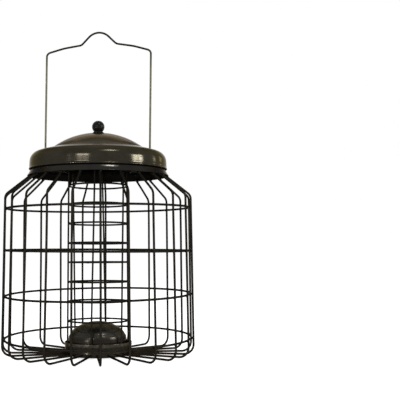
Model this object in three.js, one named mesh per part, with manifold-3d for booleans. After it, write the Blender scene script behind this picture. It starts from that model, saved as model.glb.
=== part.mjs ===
// Hanging wild bird feeder: a guard cage of bent wire round a column of wire rings,
// under a spun lid that slides up the legs of its wire bail.
// Millimetres, +Z up. The origin is the centre of the tray's flat underside, and -Y is the front.
import * as THREE from 'three';
import { mergeVertices } from 'three/addons/utils/BufferGeometryUtils.js';
import Module from 'manifold-3d';

const wasm = await Module();
wasm.setup();

// Fits
const SEAT_GAP = 0.3;
const SLIDE_FIT = 0.4;
const CUT_OVERRUN = 5;

// Guard cage: bent ribs with hoops welded inside them
const CAGE_WIRE = 2.4;
const RIB_COUNT = 23;
const RIB_FIRST_DEG = 1.8;
const RIB_FOOT_R = 105.4;
const RIB_SHOULDER_R = 102.8;
const RIB_SHOULDER_Z = 175;
const RIB_FOOT_BEND = 11;
const RIB_SHOULDER_BEND = 8;
const RIB_TAIL = 4;
const HOOP_COUNT = 4;
const HOOP_FIRST_Z = 19.1;
const HOOP_PITCH = 47.5;

// Food column: small hoops with uprights welded outside them
const FOOD_WIRE = 2;
const FOOD_RING_R = 32.4;
const FOOD_RING_COUNT = 8;
const FOOD_RING_FIRST_Z = 37.3;
const FOOD_RING_PITCH = 21.5;
const UPRIGHT_COUNT = 6;
const UPRIGHT_FIRST_DEG = -11;

// Base tray, which the ribs and uprights are welded to
const TRAY_SHEET = 0.7;
const TRAY_H = 14.8;
const TRAY_CORNER = 4.2;

// Base dome, a pressed cap that stands in the tray
const DOME_SHEET = 0.8;
const DOME_R = 31.5;
const DOME_WALL_H = 15.7;
const DOME_ROLL = 15.5;
const DOME_ROLL_DEG = 58;

// Lid: a straight wall, a rolled shoulder, a sloping rim, a groove and a dome
const LID_SHEET = 1;
const LID_R = 76.2;
const LID_WALL_H = 8.5;
const LID_ROLL = 12;
const LID_ROLL_DEG = 75;
const LID_GROOVE_R = 51;
const LID_GROOVE_HALF = 1.6;
const LID_GROOVE_DEPTH = 0.6;
const LID_DOME_RISE = 17;

// Collar: a pressed pan whose flared skirt carries the lid's edge and the ribs
const COLLAR_SHEET = 1;
const COLLAR_RIM_R = 78.3;
const COLLAR_RIM_Z = 197.5;
const COLLAR_FLARE_H = 6.5;
const COLLAR_NECK_H = 2.5;
const COLLAR_EDGE = 0.8;
const COLLAR_LIP_H = 5;

// Bail: one wire whose legs pass through the lid and hook under the collar
const BAIL_WIRE = 2.2;
const BAIL_LEG_X = 58.5;
const BAIL_TURN_DEG = 6.4;
const BAIL_HOOK = 8;
const BAIL_HOOK_BEND = 2.5;
const BAIL_CORNER_Z = 337;
const BAIL_CORNER_BEND = 7;
const BAIL_SAG_X = 39;
const BAIL_SAG_Z = 342.3;
const BAIL_SAG_BEND = 60;
const BAIL_KINK_X = 19.5;
const BAIL_KINK_BEND = 6;
const BAIL_ARCH_TOP_Z = 359.9;
const BAIL_ARCH_BEND = 15.6;
const BAIL_FLANK_DEG = 47;
const BAIL_HOLE_R = 2.4;

// Knob with its washer and screw
const KNOB_BALL_R = 7;
const KNOB_FOOT_R = 5;
const KNOB_FOOT_H = 0.7;
const KNOB_BALL_RISE = 4.9;
const KNOB_BORE_DEPTH = 8;
const WASHER_R = 6;
const WASHER_H = 0.9;
const SCREW_R = 1.9;
const SCREW_HEAD_R = 3.8;
const SCREW_HEAD_H = 2.4;
const SCREW_TIP_GAP = 0.8;

// Fineness of the round forms
const HOOP_SIDES = 6;
const BAIL_SIDES = 8;
const UPRIGHT_SIDES = 8;
const ROUND_STEPS = 2 * RIB_COUNT;
const FOOD_RING_STEPS = 4 * UPRIGHT_COUNT;
const DOME_STEPS = 4 * UPRIGHT_COUNT;
const KNOB_STEPS = 16;
const HOLE_STEPS = 16;
const BEND_STEP_DEG = 18;

const rad = THREE.MathUtils.degToRad;

// Finishes
const enamel = (color, roughness) => new THREE.MeshStandardMaterial({ color, roughness, metalness: 0.3 });
const lidEnamel = enamel(0x403828, 0.25);
const wireEnamel = enamel(0x2a2622, 0.4);
const baseEnamel = enamel(0x332f2a, 0.35);
const bailEnamel = enamel(0x4a463f, 0.4);
const knobPlastic = new THREE.MeshStandardMaterial({ color: 0x1c1b16, roughness: 0.3, metalness: 0 });
const washerRubber = new THREE.MeshStandardMaterial({ color: 0x141412, roughness: 0.7, metalness: 0 });
const screwSteel = new THREE.MeshStandardMaterial({ color: 0x9a9a98, roughness: 0.35, metalness: 0.9 });

// A wire bent to shape in one plane: it is sampled only where its direction changes
class BentWire extends THREE.Curve {
  constructor(stations) {
    super();
    this.stations = stations;
  }

  stationAt(u) {
    return this.stations[Math.round(u * (this.stations.length - 1))];
  }

  getPoint(u, target = new THREE.Vector3()) {
    return target.copy(this.stationAt(u).point);
  }

  getPointAt(u, target) {
    return this.getPoint(u, target);
  }

  getTangentAt(u, target = new THREE.Vector3()) {
    return target.copy(this.stationAt(u).tangent);
  }
}

// Points and directions along straight runs joined by round bends; corners are [x, z, bend radius]
function bendStations(corners) {
  const at = (point, direction) => ({
    point: new THREE.Vector3(point.x, 0, point.y),
    tangent: new THREE.Vector3(direction.x, 0, direction.y),
  });
  const points = corners.map(([x, z]) => new THREE.Vector2(x, z));
  const heading = (i) => points[i + 1].clone().sub(points[i]).normalize();
  const stations = [at(points[0], heading(0))];
  for (let i = 1; i < points.length - 1; i++) {
    const before = heading(i - 1);
    const after = heading(i);
    const bend = corners[i][2];
    const turn = Math.atan2(before.cross(after), before.dot(after));
    const run = bend * Math.tan(Math.abs(turn) / 2);
    const side = new THREE.Vector2(-before.y, before.x).multiplyScalar(Math.sign(turn) * bend);
    const start = points[i].clone().addScaledVector(before, -run);
    const centre = start.clone().add(side);
    const steps = Math.max(1, Math.ceil(Math.abs(turn) / rad(BEND_STEP_DEG)));
    for (let k = 0; k <= steps; k++) {
      const angle = (turn * k) / steps;
      const zero = new THREE.Vector2();
      const spoke = side.clone().negate().rotateAround(zero, angle);
      stations.push(at(centre.clone().add(spoke), before.clone().rotateAround(zero, angle)));
    }
  }
  stations.push(at(points[points.length - 1], heading(points.length - 2)));
  return stations;
}

function wireGeometry(corners, wire, sides) {
  const stations = bendStations(corners);
  const corner = (k) => rad(360) * (k / sides);
  const section = new THREE.Shape(Array.from({ length: sides }, (_, k) =>
    new THREE.Vector2(Math.cos(corner(k)), Math.sin(corner(k))).multiplyScalar(wire / 2)));
  return new THREE.ExtrudeGeometry(section, {
    steps: stations.length - 1,
    extrudePath: new BentWire(stations),
    bevelEnabled: false,
  });
}

// A round piece about +Z from an outline of [r, z] points; it starts at the given angle from the front
function turned(outline, steps, startDeg = 0) {
  const points = outline.map(([r, z]) => new THREE.Vector2(r, z));
  if (THREE.ShapeUtils.area(points) < 0) points.reverse();
  return new THREE.LatheGeometry(points, steps, rad(startDeg)).rotateX(rad(90));
}

// Outline of a pressed sheet: one skin, then the other, a sheet away on its right hand
// (on its left for a negative sheet). It closes on itself unless the skin starts on the axis.
function pressed(skin, sheet) {
  const points = skin.map(([r, z]) => new THREE.Vector2(r, z));
  const rightOf = (i) => {
    const along = points[i + 1].clone().sub(points[i]).normalize();
    return new THREE.Vector2(along.y, -along.x);
  };
  const last = points.length - 1;
  const under = points.map((point, i) => {
    const first = rightOf(Math.max(i - 1, 0));
    const second = rightOf(Math.min(i, last - 1));
    const middle = first.clone().add(second).normalize();
    const [r, z] = point.clone().addScaledVector(middle, sheet / middle.dot(first)).toArray();
    return [point.x === 0 ? 0 : r, z];
  });
  const onAxis = skin[0][0] === 0;
  return [...skin, ...under.reverse(), ...(onAxis ? [] : [skin[0]])];
}

// Points on an arc from one angle to another, both included
function arc(r, z, radius, fromDeg, toDeg, steps) {
  return Array.from({ length: steps + 1 }, (_, k) => {
    const angle = rad(fromDeg + (toDeg - fromDeg) * (k / steps));
    return [r + radius * Math.cos(angle), z + radius * Math.sin(angle)];
  });
}

function solidOf(geometry) {
  const bare = geometry.clone();
  bare.deleteAttribute('normal');
  bare.deleteAttribute('uv');
  const merged = mergeVertices(bare);
  return new wasm.Manifold(new wasm.Mesh({
    numProp: 3,
    vertProperties: new Float32Array(merged.attributes.position.array),
    triVerts: new Uint32Array(merged.index.array),
  }));
}

function geometryOf(solid) {
  const mesh = solid.getMesh();
  const geometry = new THREE.BufferGeometry();
  geometry.setAttribute('position', new THREE.BufferAttribute(mesh.vertProperties, 3));
  geometry.setIndex(new THREE.BufferAttribute(mesh.triVerts, 1));
  geometry.computeVertexNormals();
  return geometry;
}

// Two holes for the bail's legs, through a sheet that lies between two heights
function withLegHoles(geometry, lowZ, highZ) {
  const length = highZ - lowZ + 2 * CUT_OVERRUN;
  let solid = solidOf(geometry);
  for (const side of [-1, 1]) {
    const hole = new THREE.CylinderGeometry(BAIL_HOLE_R, BAIL_HOLE_R, length, HOLE_STEPS)
      .rotateX(rad(90))
      .translate(side * BAIL_LEG_X, 0, (lowZ + highZ) / 2)
      .rotateZ(rad(-BAIL_TURN_DEG));
    solid = solid.subtract(solidOf(hole));
  }
  return geometryOf(solid);
}

// Angle about +Z of something that lies at an angle from the front, towards the right
const turnFromFront = (deg) => rad(deg - 90);

function named(name, geometry, material) {
  const mesh = new THREE.Mesh(geometry, material);
  mesh.name = name;
  return mesh;
}

// Places that several pieces share
const uprightR = FOOD_RING_R + FOOD_WIRE + SEAT_GAP;
const trayR = uprightR + FOOD_WIRE / 2 + SEAT_GAP + TRAY_SHEET;
const collarHoleR = uprightR + FOOD_WIRE / 2 + SEAT_GAP;
const collarNeckR = LID_R - LID_SHEET - SLIDE_FIT;
const collarFlareZ = COLLAR_RIM_Z + COLLAR_FLARE_H;
const collarTopZ = collarFlareZ + COLLAR_NECK_H;
const lidEdgeZ = collarFlareZ;
const lidRollZ = lidEdgeZ + LID_WALL_H;
const screwHoleR = SCREW_R + SLIDE_FIT;
// The ribs' square ends stop at the tray's rounded corner, which the top of the wire comes nearest to
const cornerDrop = TRAY_CORNER - CAGE_WIRE;
const ribStartR = trayR - TRAY_CORNER + Math.sqrt(TRAY_CORNER ** 2 - cornerDrop ** 2) + SEAT_GAP;

// Guard cage
function collarSkin() {
  return [
    [collarHoleR, collarTopZ - COLLAR_LIP_H],
    [collarHoleR, collarTopZ - COLLAR_EDGE],
    [collarHoleR + COLLAR_EDGE, collarTopZ],
    [collarNeckR - COLLAR_EDGE, collarTopZ],
    [collarNeckR, collarTopZ - COLLAR_EDGE],
    [collarNeckR, collarFlareZ],
    [COLLAR_RIM_R, COLLAR_RIM_Z],
  ];
}

function collar() {
  const outline = pressed(collarSkin(), COLLAR_SHEET);
  const pan = turned(outline, ROUND_STEPS, RIB_FIRST_DEG);
  return named('cage_collar', withLegHoles(pan, COLLAR_RIM_Z, collarTopZ), lidEnamel);
}

// The ribs run in under the collar's rim at a slant that just clears its inner edge
function ribCorners() {
  const skin = collarSkin();
  const rim = pressed(skin, COLLAR_SHEET)[skin.length];
  const reach = new THREE.Vector2(RIB_SHOULDER_R - rim[0], rim[1] - RIB_SHOULDER_Z);
  const clear = CAGE_WIRE / 2 + SEAT_GAP;
  const slant = reach.angle() - Math.asin(clear / reach.length());
  const run = Math.sqrt(reach.lengthSq() - clear * clear) + RIB_TAIL;
  return [
    [ribStartR, CAGE_WIRE / 2, 0],
    [RIB_FOOT_R, CAGE_WIRE / 2, RIB_FOOT_BEND],
    [RIB_SHOULDER_R, RIB_SHOULDER_Z, RIB_SHOULDER_BEND],
    [RIB_SHOULDER_R - run * Math.cos(slant), RIB_SHOULDER_Z + run * Math.sin(slant), 0],
  ];
}

function ribs() {
  const geometry = wireGeometry(ribCorners(), CAGE_WIRE, HOOP_SIDES);
  return Array.from({ length: RIB_COUNT }, (_, k) => {
    const rib = named(`cage_rib_${k + 1}`, geometry, wireEnamel);
    rib.rotation.z = turnFromFront(RIB_FIRST_DEG + (360 * k) / RIB_COUNT);
    return rib;
  });
}

function hoops() {
  return Array.from({ length: HOOP_COUNT }, (_, k) => {
    const z = HOOP_FIRST_Z + HOOP_PITCH * k;
    const rise = (z - CAGE_WIRE / 2) / (RIB_SHOULDER_Z - CAGE_WIRE / 2);
    const ribR = THREE.MathUtils.lerp(RIB_FOOT_R, RIB_SHOULDER_R, rise);
    const hoopR = ribR - CAGE_WIRE - SEAT_GAP;
    const geometry = new THREE.TorusGeometry(hoopR, CAGE_WIRE / 2, HOOP_SIDES, ROUND_STEPS);
    const hoop = named(`cage_hoop_${k + 1}`, geometry, wireEnamel);
    hoop.rotation.z = turnFromFront(RIB_FIRST_DEG);
    hoop.position.z = z;
    return hoop;
  });
}

// Food column
function foodRings() {
  const geometry = new THREE.TorusGeometry(FOOD_RING_R, FOOD_WIRE / 2, HOOP_SIDES, FOOD_RING_STEPS);
  return Array.from({ length: FOOD_RING_COUNT }, (_, k) => {
    const ring = named(`food_ring_${k + 1}`, geometry, wireEnamel);
    ring.rotation.z = turnFromFront(UPRIGHT_FIRST_DEG);
    ring.position.z = FOOD_RING_FIRST_Z + FOOD_RING_PITCH * k;
    return ring;
  });
}

function uprights() {
  const footZ = TRAY_CORNER;
  const length = collarTopZ - footZ;
  const geometry = new THREE.CylinderGeometry(FOOD_WIRE / 2, FOOD_WIRE / 2, length, UPRIGHT_SIDES)
    .rotateX(rad(90))
    .translate(uprightR, 0, footZ + length / 2);
  return Array.from({ length: UPRIGHT_COUNT }, (_, k) => {
    const upright = named(`food_upright_${k + 1}`, geometry, wireEnamel);
    upright.rotation.z = turnFromFront(UPRIGHT_FIRST_DEG + (360 * k) / UPRIGHT_COUNT);
    return upright;
  });
}

// Base
function tray() {
  const skin = [
    [0, 0],
    ...arc(trayR - TRAY_CORNER, TRAY_CORNER, TRAY_CORNER, -90, 0, 3),
    [trayR, TRAY_H],
  ];
  const outline = pressed(skin, -TRAY_SHEET);
  return named('base_tray', turned(outline, ROUND_STEPS, RIB_FIRST_DEG), baseEnamel);
}

function dome() {
  const footZ = TRAY_SHEET + SEAT_GAP;
  const rollR = DOME_R - DOME_ROLL;
  const rollZ = footZ + DOME_WALL_H;
  const crownR = (rollR + DOME_ROLL * Math.cos(rad(DOME_ROLL_DEG))) / Math.cos(rad(DOME_ROLL_DEG));
  const crownZ = rollZ + DOME_ROLL * Math.sin(rad(DOME_ROLL_DEG)) - crownR * Math.sin(rad(DOME_ROLL_DEG));
  const skin = [
    [0, crownZ + crownR],
    ...arc(0, crownZ, crownR, 90, DOME_ROLL_DEG, 3).slice(1, -1),
    ...arc(rollR, rollZ, DOME_ROLL, DOME_ROLL_DEG, 0, 4),
    [DOME_R, footZ],
  ];
  return named('base_dome', turned(pressed(skin, DOME_SHEET), DOME_STEPS), baseEnamel);
}

// Lid
const lidRollSkin = arc(LID_R - LID_ROLL, lidRollZ, LID_ROLL, LID_ROLL_DEG, 0, 4);
const lidRimZ = (r) => lidRollSkin[0][1] + (lidRollSkin[0][0] - r) / Math.tan(rad(LID_ROLL_DEG));
const lidTopZ = lidRimZ(LID_GROOVE_R) + LID_DOME_RISE;

// Height of the dome's outer skin: a cap of a sphere that ends at the groove
function lidDomeZ(r) {
  const sphereR = (LID_GROOVE_R ** 2 + LID_DOME_RISE ** 2) / (2 * LID_DOME_RISE);
  return lidTopZ - sphereR + Math.sqrt(sphereR ** 2 - r ** 2);
}

function lid() {
  const domeEdgeR = LID_GROOVE_R - LID_GROOVE_HALF;
  const domeSteps = 3;
  const domeSkin = Array.from({ length: domeSteps + 1 }, (_, k) => {
    const r = THREE.MathUtils.lerp(screwHoleR, domeEdgeR, k / domeSteps);
    return [r, lidDomeZ(r)];
  });
  const rimStartR = LID_GROOVE_R + LID_GROOVE_HALF;
  const skin = [
    ...domeSkin,
    [LID_GROOVE_R, lidRimZ(LID_GROOVE_R) - LID_GROOVE_DEPTH],
    [rimStartR, lidRimZ(rimStartR)],
    ...lidRollSkin,
    [LID_R, lidEdgeZ],
  ];
  const shell = turned(pressed(skin, LID_SHEET), ROUND_STEPS);
  return named('lid', withLegHoles(shell, lidEdgeZ, lidTopZ), lidEnamel);
}

// Knob, washer and screw, stacked on the lid's axis
function knobParts() {
  const washerZ = lidTopZ + SEAT_GAP;
  const knobZ = washerZ + WASHER_H + SEAT_GAP;
  const ballZ = knobZ + KNOB_FOOT_H + KNOB_BALL_RISE;
  const boreR = SCREW_R + SEAT_GAP;
  const boreZ = knobZ + KNOB_BORE_DEPTH;
  const seatDeg = -THREE.MathUtils.radToDeg(Math.asin(KNOB_BALL_RISE / KNOB_BALL_R));
  const knobOutline = [
    [0, boreZ],
    [boreR, boreZ],
    [boreR, knobZ],
    [KNOB_FOOT_R, knobZ],
    [KNOB_FOOT_R, knobZ + KNOB_FOOT_H],
    ...arc(0, ballZ, KNOB_BALL_R, seatDeg, 90, 7).slice(0, -1),
    [0, ballZ + KNOB_BALL_R],
  ];
  const washerOutline = [
    [screwHoleR, washerZ],
    [WASHER_R, washerZ],
    [WASHER_R, washerZ + WASHER_H],
    [screwHoleR, washerZ + WASHER_H],
    [screwHoleR, washerZ],
  ];
  const headZ = lidTopZ - LID_SHEET - SEAT_GAP;
  const shankTopZ = boreZ - SCREW_TIP_GAP;
  const screwOutline = [
    [0, headZ - SCREW_HEAD_H],
    ...arc(SCREW_HEAD_R - SCREW_HEAD_H, headZ, SCREW_HEAD_H, -90, 0, 3),
    [SCREW_R, headZ],
    [SCREW_R, shankTopZ - SCREW_R / 2],
    [SCREW_R / 2, shankTopZ],
    [0, shankTopZ],
  ];
  return [
    named('lid_knob', turned(knobOutline, KNOB_STEPS), knobPlastic),
    named('knob_washer', turned(washerOutline, KNOB_STEPS), washerRubber),
    named('knob_screw', turned(screwOutline, HOLE_STEPS), screwSteel),
  ];
}

// Bail
function bail() {
  const hookZ = collarTopZ - COLLAR_SHEET - SEAT_GAP - BAIL_WIRE / 2;
  const flank = rad(BAIL_FLANK_DEG);
  const archCornerZ = BAIL_ARCH_TOP_Z + BAIL_ARCH_BEND * (1 / Math.cos(flank) - 1) - BAIL_WIRE / 2;
  const kinkZ = archCornerZ - BAIL_KINK_X * Math.tan(flank);
  const half = [
    [BAIL_LEG_X - BAIL_HOOK, hookZ, 0],
    [BAIL_LEG_X, hookZ, BAIL_HOOK_BEND],
    [BAIL_LEG_X, BAIL_CORNER_Z, BAIL_CORNER_BEND],
    [BAIL_SAG_X, BAIL_SAG_Z, BAIL_SAG_BEND],
    [BAIL_KINK_X, kinkZ, BAIL_KINK_BEND],
  ];
  const mirrored = half.map(([x, z, bend]) => [-x, z, bend]).reverse();
  const corners = [...half, [0, archCornerZ, BAIL_ARCH_BEND], ...mirrored];
  const wire = named('bail', wireGeometry(corners, BAIL_WIRE, BAIL_SIDES), bailEnamel);
  wire.rotation.z = rad(-BAIL_TURN_DEG);
  return wire;
}

const cage = new THREE.Group();
cage.add(tray(), dome(), ...ribs(), ...hoops(), ...uprights(), ...foodRings(), collar(), bail());

const lidAssembly = new THREE.Group();
lidAssembly.add(lid(), ...knobParts());

const feeder = new THREE.Group();
feeder.add(cage, lidAssembly);

export default feeder;
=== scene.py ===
import math
import random

import bmesh
import bpy
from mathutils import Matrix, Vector, noise


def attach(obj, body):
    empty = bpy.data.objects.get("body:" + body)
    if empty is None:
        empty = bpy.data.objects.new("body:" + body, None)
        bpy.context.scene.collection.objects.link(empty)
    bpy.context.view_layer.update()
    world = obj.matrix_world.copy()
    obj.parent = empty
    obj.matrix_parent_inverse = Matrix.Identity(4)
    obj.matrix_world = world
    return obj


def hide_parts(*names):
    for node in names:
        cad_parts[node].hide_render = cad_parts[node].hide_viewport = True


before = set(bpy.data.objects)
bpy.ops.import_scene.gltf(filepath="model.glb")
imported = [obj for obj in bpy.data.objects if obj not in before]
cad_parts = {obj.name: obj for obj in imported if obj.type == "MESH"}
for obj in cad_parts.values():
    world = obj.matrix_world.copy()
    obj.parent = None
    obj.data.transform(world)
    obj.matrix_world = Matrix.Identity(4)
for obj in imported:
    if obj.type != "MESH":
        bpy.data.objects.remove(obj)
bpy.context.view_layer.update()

MM = 0.001
GAP = 0.3                     # seat gap between the solids, which the weld beads bridge

# Guard cage
CAGE_R = 1.2                  # half the cage wire
RIB_COUNT = 23
RIB_FIRST_DEG = 1.8
RIB_FOOT_R = 105.4
RIB_SHOULDER_R = 102.8
RIB_SHOULDER_Z = 175
RIB_FOOT_BEND = 11
RIB_SHOULDER_BEND = 8
RIB_TAIL = 4                  # how far a rib goes on past the edge of the collar's rim
HOOP_COUNT = 4
HOOP_LOW_Z = 19.1
HOOP_STEP_Z = 47.5
HOOP_HEIGHTS = [HOOP_LOW_Z + HOOP_STEP_Z * k for k in range(HOOP_COUNT)]

# Food column
FOOD_R = 1.0                  # half the food wire
FOOD_RING_R = 32.4
FOOD_RING_COUNT = 8
FOOD_RING_LOW_Z = 37.3
FOOD_RING_STEP_Z = 21.5
FOOD_RING_HEIGHTS = [FOOD_RING_LOW_Z + FOOD_RING_STEP_Z * k for k in range(FOOD_RING_COUNT)]
UPRIGHT_COUNT = 6
UPRIGHT_FIRST_DEG = -11
UPRIGHT_R = FOOD_RING_R + 2 * FOOD_R + GAP

# Base
TRAY_SHEET = 0.7
TRAY_R = UPRIGHT_R + FOOD_R + GAP + TRAY_SHEET
TRAY_H = 14.8
TRAY_CORNER = 4.2
RIB_START_R = TRAY_R - TRAY_CORNER + math.sqrt(TRAY_CORNER ** 2 - (TRAY_CORNER - 2 * CAGE_R) ** 2) + GAP
DOME_SHEET = 0.8
DOME_R = 31.5
DOME_WALL_H = 15.7
DOME_ROLL = 15.5
DOME_ROLL_DEG = 58

# Lid and collar
LID_SHEET = 1
LID_R = 76.2
LID_EDGE_Z = 204
LID_ROLL_Z = 212.5
LID_ROLL = 12
LID_ROLL_DEG = 75
LID_GROOVE_R = 51
LID_GROOVE_HALF = 1.6
LID_GROOVE_DEPTH = 0.6
LID_DOME_RISE = 17
LID_HEM = 0.9                 # half the rolled hem
COLLAR_SHEET = 1
COLLAR_HOLE_R = TRAY_R - TRAY_SHEET
COLLAR_NECK_R = 74.8
COLLAR_RIM_R = 78.3
COLLAR_RIM_Z = 197.5
COLLAR_TOP_Z = 206.5
COLLAR_LIP_H = 5

# Bail
BAIL_R = 1.1                  # half the bail wire
BAIL_LEG_X = 58.5
BAIL_TURN_DEG = 6.4
BAIL_HOLE_R = 2.4
BAIL_HOOK = 8
BAIL_HOOK_Z = COLLAR_TOP_Z - COLLAR_SHEET - GAP - BAIL_R
BAIL_CORNER_Z = 337
BAIL_SAG_X = 39
BAIL_SAG_Z = 342.3
BAIL_KINK_X = 19.5
BAIL_ARCH_TOP_Z = 359.9
BAIL_ARCH_BEND = 15.6
BAIL_FLANK_DEG = 47

# Knob, washer and screw
KNOB_BALL_R = 7
KNOB_FOOT_R = 5
KNOB_FOOT_H = 0.7
KNOB_BALL_RISE = 4.9
KNOB_BORE_H = 8
WASHER_R = 6
WASHER_H = 0.9
SCREW_R = 1.9
SCREW_HEAD_R = 3.8
SCREW_HEAD_H = 2.4
SCREW_END_GAP = 0.8
THREAD_PITCH = 0.7
THREAD_DEPTH = 0.28
RECESS_LONG = 2.3             # half the length and width of the cross in the screw's head
RECESS_WIDE = 0.35
RECESS_DEPTH = 1.1

WIRE_SIDES = 12
ROUND_STEPS = 184
LEG_HOLE_STEPS = 24
CRISP_DEG = 38                # edges sharper than this stay crisp
TINY = 1e-6
MITRE_LIMIT = 0.3             # keeps a sharp corner's other skin near it
rng = random.Random(11)


# Outlines
def bends(corners, step_deg=9, run=None):
    """Points along straight runs joined by round bends; a corner is (x, z) or (x, z, bend radius)."""
    points = [Vector(c[:2]) for c in corners]
    out = [points[0]]
    for i in range(1, len(points) - 1):
        before = (points[i] - points[i - 1]).normalized()
        after = (points[i + 1] - points[i]).normalized()
        bend = corners[i][2] if len(corners[i]) > 2 else 0
        turn = math.atan2(before.x * after.y - before.y * after.x, before.dot(after))
        if not bend or abs(turn) < TINY:
            out.append(points[i])
            continue
        start = points[i] - before * (bend * math.tan(abs(turn) / 2))
        side = Vector((-before.y, before.x)) * math.copysign(bend, turn)
        steps = max(2, math.ceil(math.degrees(abs(turn)) / step_deg))
        for k in range(steps + 1):
            a = turn * k / steps
            spoke = Vector((-side.x * math.cos(a) + side.y * math.sin(a),
                            -side.x * math.sin(a) - side.y * math.cos(a)))
            out.append(start + side + spoke)
    out.append(points[-1])
    if run is None:
        return out
    fine = [out[0]]
    for a, b in zip(out, out[1:]):
        pieces = max(1, math.ceil((b - a).length / run))
        fine += [a.lerp(b, k / pieces) for k in range(1, pieces + 1)]
    return fine


def arc(cx, cz, radius, from_deg, to_deg, steps):
    """Points on an arc, both ends included."""
    angles = [math.radians(from_deg + (to_deg - from_deg) * k / steps) for k in range(steps + 1)]
    return [Vector((cx + radius * math.cos(a), cz + radius * math.sin(a))) for a in angles]


def beside(skin, distance):
    """The outline's other skin, a distance away on its right hand; points on the axis stay on it."""
    out = []
    last = len(skin) - 1
    for i, p in enumerate(skin):
        sides = []
        for j in (max(i - 1, 0), min(i, last - 1)):
            along = (skin[j + 1] - skin[j]).normalized()
            sides.append(Vector((along.y, -along.x)))
        middle = (sides[0] + sides[1]).normalized()
        q = p + middle * (distance / max(MITRE_LIMIT, middle.dot(sides[0])))
        out.append(Vector((0, q.y)) if p.x == 0 else q)
    return out


EDGE_TURN = 0.6               # where a sheet's cut edge has its first point, in radians round it
EDGE_BULGE = 0.8              # how far it bulges, as a share of half the sheet


def round_end(skin, other, end):
    """Points round the free edge between two skins at one end."""
    a, b = (skin[-1], other[-1]) if end == -1 else (other[0], skin[0])
    along = (skin[-1] - skin[-2]) if end == -1 else (skin[0] - skin[1])
    along = along.normalized() * (a - b).length / 2
    middle, half = (a + b) / 2, (a - b) / 2
    turns = (EDGE_TURN, math.pi / 2, math.pi - EDGE_TURN)
    return [middle + half * math.cos(t) + along * (EDGE_BULGE * math.sin(t)) for t in turns]


def sheet_outline(skin, sheet):
    """Closed outline of a pressed sheet whose free edges are rounded."""
    other = beside(skin, sheet)
    outline = skin + round_end(skin, other, -1) + other[::-1]
    if skin[0].x > 0:
        outline += round_end(skin, other, 0)
    return outline


# Meshes
def lathe(outline, steps=ROUND_STEPS, start_deg=0.0, closed=True):
    """Vertices and faces of a round piece about Z from an outline of (r, z) points."""
    area = sum(a.x * b.y - b.x * a.y for a, b in zip(outline, outline[1:] + outline[:1]))
    points = outline if area > 0 else outline[::-1]
    verts, columns = [], []
    for p in points:
        if p.x < TINY:
            columns.append([len(verts)] * steps)
            verts.append(Vector((0, 0, p.y)))
            continue
        columns.append(list(range(len(verts), len(verts) + steps)))
        for k in range(steps):
            a = math.radians(start_deg - 90) + math.tau * k / steps
            verts.append(Vector((p.x * math.cos(a), p.x * math.sin(a), p.y)))
    faces = []
    pairs = list(zip(columns, columns[1:]))
    if closed:
        pairs.append((columns[-1], columns[0]))
    for low, high in pairs:
        for k in range(steps):
            m = (k + 1) % steps
            ring = [low[k], low[m], high[m], high[k]]
            corners = [v for i, v in enumerate(ring) if v != ring[i - 1]]
            if len(corners) > 2:
                faces.append(corners)
    return verts, faces


# Thickness and distance from the tip at a wire's rounded end, as shares of its radius
WIRE_END_SHARES = ((1, 0.28), (0.93, 0.12), (0.74, 0))


def tube(path, flat, radius, swell=None, closed=False):
    """Vertices and faces of a wire along a path that lies about in the plane with the normal flat."""
    count = len(path)
    rings = []
    for i, p in enumerate(path):
        ahead = path[(i + 1) % count] if closed or i < count - 1 else p
        behind = path[i - 1] if closed or i else p
        along = (ahead - behind).normalized()
        side = flat.cross(along).normalized()
        up = along.cross(side)
        thick = radius * (swell[i] if swell else 1)
        rings.append((p, along, side, up, thick))
    if not closed:
        for end, sign in ((0, -1), (-1, 1)):
            p, along, side, up, thick = rings[end]
            tip = []
            for thin, back in WIRE_END_SHARES:
                tip.append((p - along * (sign * back * radius), along, side, up, thick * thin))
            rings = tip[::-1] + rings[1:] if end == 0 else rings[:-1] + tip
    verts, faces = [], []
    for p, _, side, up, thick in rings:
        for k in range(WIRE_SIDES):
            a = math.tau * k / WIRE_SIDES
            verts.append(p + side * (thick * math.cos(a)) + up * (thick * math.sin(a)))
    total = len(rings)
    for i in range(total if closed else total - 1):
        low, high = i * WIRE_SIDES, (i + 1) % total * WIRE_SIDES
        for k in range(WIRE_SIDES):
            m = (k + 1) % WIRE_SIDES
            faces.append([low + k, low + m, high + m, high + k])
    if not closed:
        faces.append(list(range(WIRE_SIDES))[::-1])
        faces.append([(total - 1) * WIRE_SIDES + k for k in range(WIRE_SIDES)])
    return verts, faces


def turned_z(verts, deg):
    """Vertices turned about Z."""
    c, s = math.cos(math.radians(deg)), math.sin(math.radians(deg))
    return [Vector((v.x * c - v.y * s, v.x * s + v.y * c, v.z)) for v in verts]


def joined(parts):
    """Several lots of vertices and faces as one."""
    verts, faces = [], []
    for v, f in parts:
        faces += [[i + len(verts) for i in face] for face in f]
        verts += v
    return verts, faces


def placed(name, data):
    """A new object in the scene for a mesh, a lamp or a camera."""
    item = bpy.data.objects.new(name, data)
    bpy.context.scene.collection.objects.link(item)
    return item


def solid(name, shape):
    """An object with outward faces from vertices and faces."""
    verts, faces = shape
    mesh = bpy.data.meshes.new(name)
    mesh.from_pydata([v * MM for v in verts], [], faces)
    work = bmesh.new()
    work.from_mesh(mesh)
    bmesh.ops.recalc_face_normals(work, faces=work.faces)
    work.to_mesh(mesh)
    work.free()
    return placed(name, mesh)


def mesh_piece(name, shape, finish, body, nodes=()):
    """A smooth piece with crisp edges, which rides on a body and stands for the nodes named."""
    piece = solid(name, shape)
    piece.data.polygons.foreach_set("use_smooth", [True] * len(piece.data.polygons))
    piece.data.set_sharp_from_angle(angle=math.radians(CRISP_DEG))
    piece.data.materials.append(finish)
    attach(piece, body)
    if nodes:
        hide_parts(*nodes)


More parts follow.
